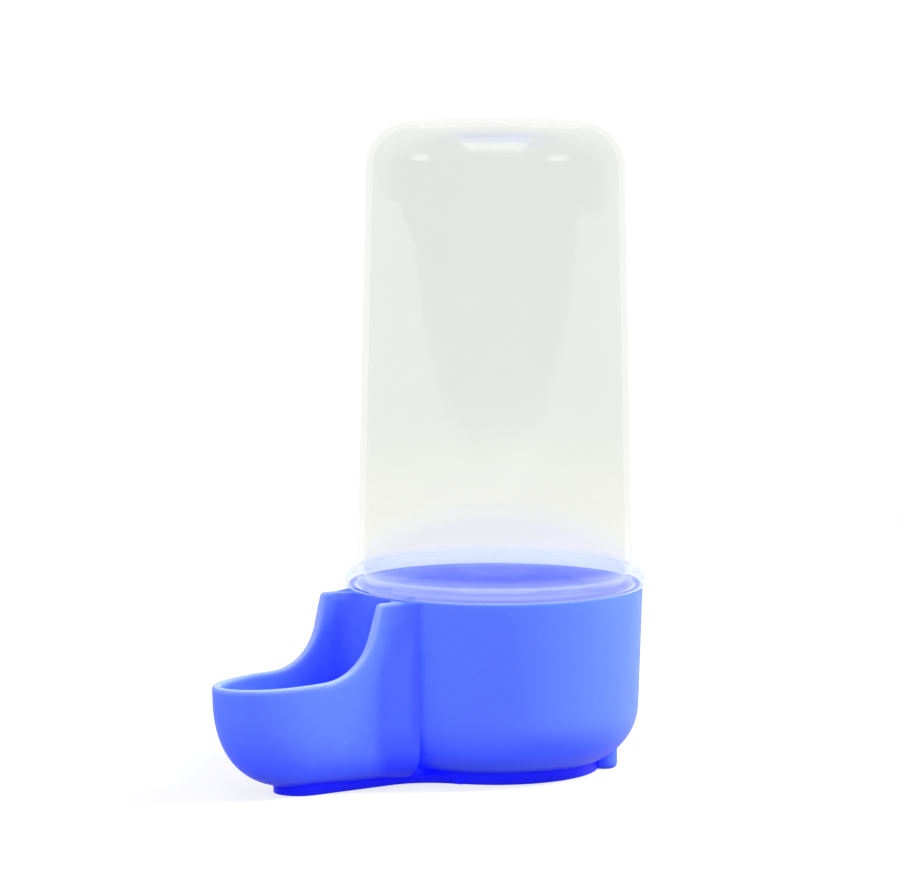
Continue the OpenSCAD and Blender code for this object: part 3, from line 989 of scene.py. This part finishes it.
on_sheet = fade(tree, vector_math(tree, "DOT_PRODUCT", spot, to_camera), SHEET_FRONT, 1.0, 0.0)
mirrored = math_node(tree, "MULTIPLY", path["Is Glossy Ray"], on_sheet)
seen = math_node(tree, "MAXIMUM", path["Is Camera Ray"], path["Is Transmission Ray"])
seen = math_node(tree, "MAXIMUM", seen, mirrored)

# How far a point of the floor lies from the part, for the painted shade beside it.
off_cup = math_node(tree, "SUBTRACT", vector_math(tree, "DISTANCE", spot, cup_foot), CUP_R * MM)
beside = math_node(tree, "SUBTRACT", math_node(tree, "ABSOLUTE", place["X"]), HALF_WIDTHS[-1] * MM)
before = math_node(tree, "SUBTRACT", base_low.y, place["Y"])
behind = math_node(tree, "SUBTRACT", place["Y"], cup_axis_y)
off_trough = math_node(tree, "MAXIMUM", beside, math_node(tree, "MAXIMUM", before, behind))
off_part = math_node(tree, "MINIMUM", off_cup, off_trough)
lit = fade(tree, off_part, LIT_FADE, MATT_SHADED_NEAR, MATT_LIT_FAR)

matt = node_at(tree, "ShaderNodeBsdfDiffuse", Color=fade(tree, seen, NO_OR_YES, lit, MATT_SEEN))
white = node_at(tree, "ShaderNodeEmission", Color=WHITE, Strength=1.0)
white_share = fade(tree, vector_math(tree, "LENGTH", spot), SHADOW_FADE, 1 - SHADOW_SHARE, 1.0)
seen_white = math_node(tree, "MULTIPLY", seen, white_share)
both = blend_shaders(tree, seen_white, matt.outputs["BSDF"], white.outputs["Emission"])
node_at(tree, "ShaderNodeOutputMaterial", Surface=both)
floor.data.materials.append(paper)
print("paper: plain white from", SHADOW_FADE[1], "m out")

# %% World
AMBIENT, BAND_RISE = 1.3, (0.15, 0.40)
OVERHEAD_SHARE, BAND_FALL = 0.35, (0.50, 0.95)
MIRRORED_FRONT, MIRROR_FADE = 0.10, (-0.6, 0.0)

world = bpy.data.worlds.new("studio")
scene.world = world
world.use_nodes = True
tree = world.node_tree
path = tree.nodes.new("ShaderNodeLightPath").outputs
way, along = place_on(tree, "Generated")
rise = fade(tree, along["Z"], BAND_RISE, 0.0, AMBIENT)
fall = fade(tree, along["Z"], BAND_FALL, 1.0, OVERHEAD_SHARE)
sky = math_node(tree, "MULTIPLY", rise, fall)
mirrored = fade(tree, vector_math(tree, "DOT_PRODUCT", way, to_camera), MIRROR_FADE, 1.0, MIRRORED_FRONT)
unseen = fade(tree, path["Is Glossy Ray"], NO_OR_YES, sky, mirrored)
seen = math_node(tree, "MAXIMUM", path["Is Camera Ray"], path["Is Transmission Ray"])
strength = fade(tree, seen, NO_OR_YES, unseen, 1.0)
fill_all(tree, tree.nodes["Background"], {"Color": WHITE, "Strength": strength})
print("ambient light:", AMBIENT, "in a band above the horizon")

# %% [markdown]
# ## Lamps
# The main lamp is a tall soft box high up and far round to the right. It makes the cup lighter towards its
# right side, and the cup keeps it off the neck, which gives the neck its soft dark band; painted shade in the
# blue plastic deepens that band at its ends and along the join. Two weaker boxes stand in front and to the
# left. The clear tube doesn't mirror these three. What shines on its shoulder are three dim cards, one on
# each side and one overhead.

# %% Lamps
# Each lamp has its turn from the camera and its height from the floor in degrees, then its distance, width
# and length in metres, and its power in watts.
BOXES = {
    "right box": (90, 42, 1.0, 0.16, 0.4, 17.5),
    "front box": (24, 14, 1.0, 0.6, 0.3, 2.5),
    "left box": (-60, 24, 1.0, 0.4, 0.4, 4.0),
}
CARDS = {
    "right card": (64, 32, 1.0, 0.30, 0.22, 0.25),
    "left card": (-78, 30, 1.0, 0.28, 0.22, 0.25),
    "top card": (0, 78, 0.9, 0.6, 0.6, 1.2),
}
AIM_HEIGHT = 0.06

aim = cup_foot + Vector((0, 0, AIM_HEIGHT))


def soft_box(name, turn, height, away, wide, tall, power):
    """A lamp that faces the waterer."""
    lamp = bpy.data.objects.new(name, bpy.data.lights.new(name, "AREA"))
    scene.collection.objects.link(lamp)
    lamp.data.shape = "RECTANGLE"
    lamp.data.size, lamp.data.size_y = wide, tall
    lamp.data.energy = power
    turn, height = math.radians(turn), math.radians(height)
    flat = to_camera * math.cos(turn) + camera_right * math.sin(turn)
    lamp.location = aim + flat * away * math.cos(height) + Vector((0, 0, away * math.sin(height)))
    lamp.rotation_mode = "QUATERNION"
    lamp.rotation_quaternion = (aim - lamp.location).to_track_quat("-Z", "Y")
    return lamp


for name, values in BOXES.items():
    box = soft_box(name, *values)
    box.visible_glossy = False
    box.visible_transmission = False
for name, values in CARDS.items():
    soft_box(name, *values)

# %% Finish
scene.view_settings.view_transform = "Standard"
